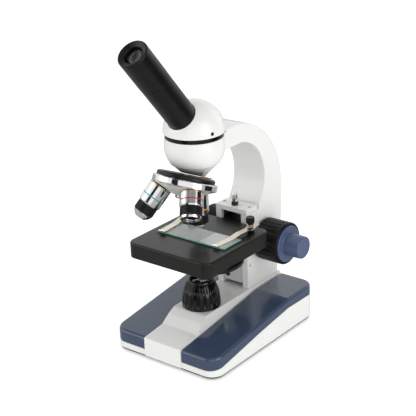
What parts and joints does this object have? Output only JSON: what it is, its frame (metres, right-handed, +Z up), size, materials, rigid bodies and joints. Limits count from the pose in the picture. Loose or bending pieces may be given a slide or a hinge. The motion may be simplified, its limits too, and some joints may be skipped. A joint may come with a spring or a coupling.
{
  "type": "compound microscope",
  "caption": "Monocular student microscope: wedge base with a lamp, curved arm, inclined swivelling head, tilted objective turret and a stage moved by coaxial focus knobs.",
  "frame": {"origin": "middle of the instrument's footprint, on the surface it stands on", "axes": "+Z up, -Y the front where the eyepiece points, +X the right-hand focus knob"},
  "size_m": [0.1236, 0.1862, 0.2912],
  "materials": {
    "enamel_white": "gloss enamel, faintly warm white",
    "enamel_blue": "gloss slate-blue enamel",
    "enamel_black": "satin black enamel",
    "plastic_black": "moulded black, semi-matt",
    "plastic_blue": "moulded navy blue, gloss",
    "chrome": "bright chrome plate",
    "steel": "bright machined steel",
    "brass": "machined brass",
    "rubber": "moulded black rubber",
    "optic_glass": "polished, coated",
    "slide_glass": "ground-edge sheet glass",
    "bare_board": "white circuit board"
  },
  "bodies": {
    "stand": {"base_shell": "enamel_white", "base_panel_left": "enamel_blue", "base_panel_right": "enamel_blue", "base_plate": "enamel_black", "battery_door": "plastic_black", "power_inlet": "plastic_black", "foot_front_left": "rubber", "foot_front_right": "rubber", "foot_back_left": "rubber", "foot_back_right": "rubber", "lamp_housing": "plastic_black", "lamp_lens": "optic_glass", "led_board": "bare_board", "arm": "enamel_white", "gearbox_cap": "enamel_white", "stop_nut": "enamel_black", "stop_screw": "chrome", "column_cover": "steel", "cover_screw": "enamel_black", "slideway": "enamel_black", "cap_screw_left": "steel", "cap_screw_right": "steel", "nosepiece_plate": "enamel_black", "click_spring": "brass", "turret_screw": "steel"},
    "rocker": {"power_switch": "plastic_black"},
    "coarse": {"pinion_shaft": "steel", "coarse_knob_left": "plastic_black", "coarse_knob_right": "plastic_black"},
    "fine": {"fine_shaft": "steel", "fine_knob_left": "plastic_blue", "fine_knob_right": "plastic_blue"},
    "lift": {"focus_rack": "brass"},
    "stage": {"focus_carriage": "enamel_black", "stage_plate": "enamel_black", "condenser_lens": "optic_glass", "diaphragm_screw": "steel", "clip_post_left": "plastic_black", "clip_post_right": "plastic_black"},
    "diaphragm": {"diaphragm_disc": "enamel_black"},
    "clip_l": {"clip_left": "steel"},
    "clip_r": {"clip_right": "steel"},
    "specimen": {"glass_slide": "slide_glass"},
    "nosepiece": {"turret": "chrome", "objective_low_barrel": "chrome", "objective_low_grip": "enamel_black", "objective_low_nose": "chrome", "objective_mid_barrel": "chrome", "objective_mid_grip": "enamel_black", "objective_mid_nose": "chrome", "objective_high_barrel": "chrome", "objective_high_grip": "enamel_black", "objective_high_nose": "chrome"},
    "head": {"swivel_ring": "enamel_black", "head_dome": "enamel_white", "prism": "optic_glass", "head_set_screw": "enamel_black", "draw_tube": "plastic_black"},
    "eyepiece": {"eyepiece_body": "plastic_black", "eye_lens": "optic_glass"}
  },
  "joints": [
    {"name": "head_swivel", "type": "hinge", "parent": "stand", "child": "head", "pos_m": [0, -0.01151, 0.195], "axis": [0, 0, 1], "continuous": true},
    {"name": "eyepiece_lift", "type": "slide", "parent": "head", "child": "eyepiece", "axis": [0, -0.6468, 0.7627], "range_m": [0, 0.026]},
    {"name": "turret_turn", "type": "hinge", "parent": "stand", "child": "nosepiece", "pos_m": [0, -0.01151, 0.1935], "axis": [0, 0.3907, 0.9205], "continuous": true},
    {"name": "coarse_lift", "type": "slide", "parent": "stand", "child": "lift", "axis": [0, 0, 1], "range_m": [-0.018, 0.006]},
    {"name": "coarse_turn", "type": "hinge", "parent": "stand", "child": "coarse", "pos_m": [0, 0.06149, 0.0796], "axis": [1, 0, 0], "range_deg": [-43.2, 129.2]},
    {"name": "fine_turn", "type": "hinge", "parent": "stand", "child": "fine", "pos_m": [0, 0.06149, 0.0796], "axis": [1, 0, 0], "range_deg": [-229.4, 229.4]},
    {"name": "fine_lift", "type": "slide", "parent": "lift", "child": "stage", "axis": [0, 0, 1], "range_m": [-0.0008, 0.0008]},
    {"name": "diaphragm_turn", "type": "hinge", "parent": "stage", "child": "diaphragm", "pos_m": [0.017, -0.01871, 0.0873], "axis": [0, 0, 1], "continuous": true},
    {"name": "clip_left_swing", "type": "hinge", "parent": "stage", "child": "clip_l", "pos_m": [-0.0333, 0.02009, 0.107], "axis": [0, 0, 1], "range_deg": [-35, 25]},
    {"name": "clip_right_swing", "type": "hinge", "parent": "stage", "child": "clip_r", "pos_m": [0.0333, 0.02009, 0.107], "axis": [0, 0, 1], "range_deg": [-25, 35]},
    {"name": "specimen_shift", "type": "slide", "parent": "stage", "child": "specimen", "axis": [1, 0, 0], "range_m": [-0.012, 0.008]},
    {"name": "power_rocker", "type": "hinge", "parent": "stand", "child": "rocker", "pos_m": [0.026, 0.08529, 0.014], "axis": [1, 0, 0], "range_deg": [-7, 7]}
  ],
  "couplings": [
    {"joint": "coarse_turn", "follows": "coarse_lift", "rad_per_m": -125},
    {"joint": "fine_turn", "follows": "fine_lift", "rad_per_m": -5000}
  ]
}
